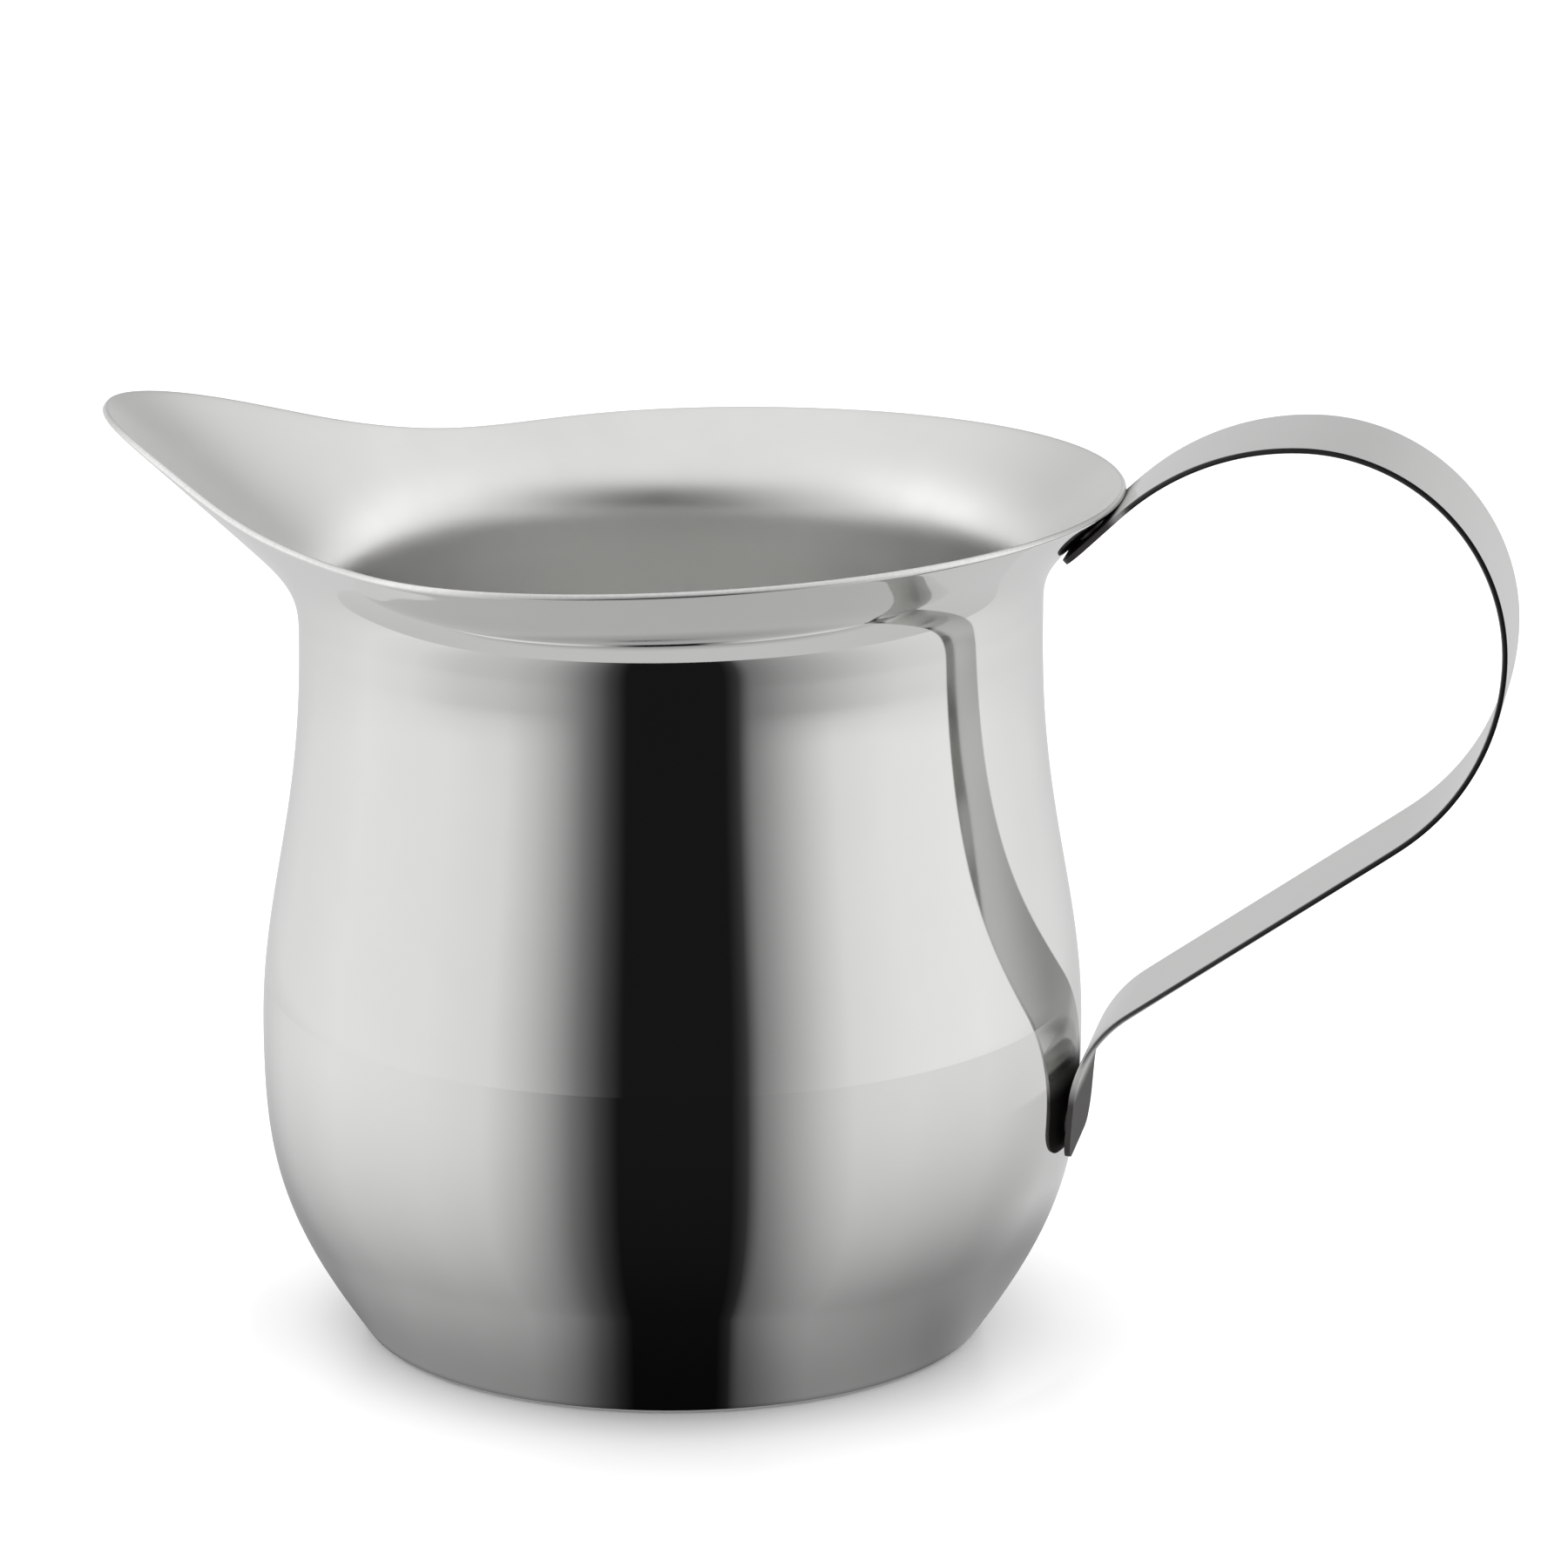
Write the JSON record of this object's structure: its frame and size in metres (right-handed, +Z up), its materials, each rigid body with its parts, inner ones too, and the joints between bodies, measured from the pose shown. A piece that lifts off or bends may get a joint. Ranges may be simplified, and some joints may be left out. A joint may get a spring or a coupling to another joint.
{
  "type": "cream jug",
  "caption": "Polished steel cream jug: a bellied shell with a flared mouth and pulled spout, and a flat strap handle spot-welded on.",
  "frame": {"origin": "centre of the flat base, on the axis of the round body", "axes": "+Z up along the body axis, +X towards the handle, -X towards the spout, Y across the body"},
  "size_m": [0.1197, 0.0786, 0.0796],
  "materials": {
    "polished_steel": "mirror polished stainless steel, inside and out",
    "strap_steel": "polished stainless strip, a little softer than the shell",
    "weld_steel": "fused spot-weld metal, unpolished"
  },
  "bodies": {
    "root": {"body": "polished_steel", "handle": "strap_steel", "upper_welds": "weld_steel", "lower_welds": "weld_steel"}
  },
  "joints": []
}
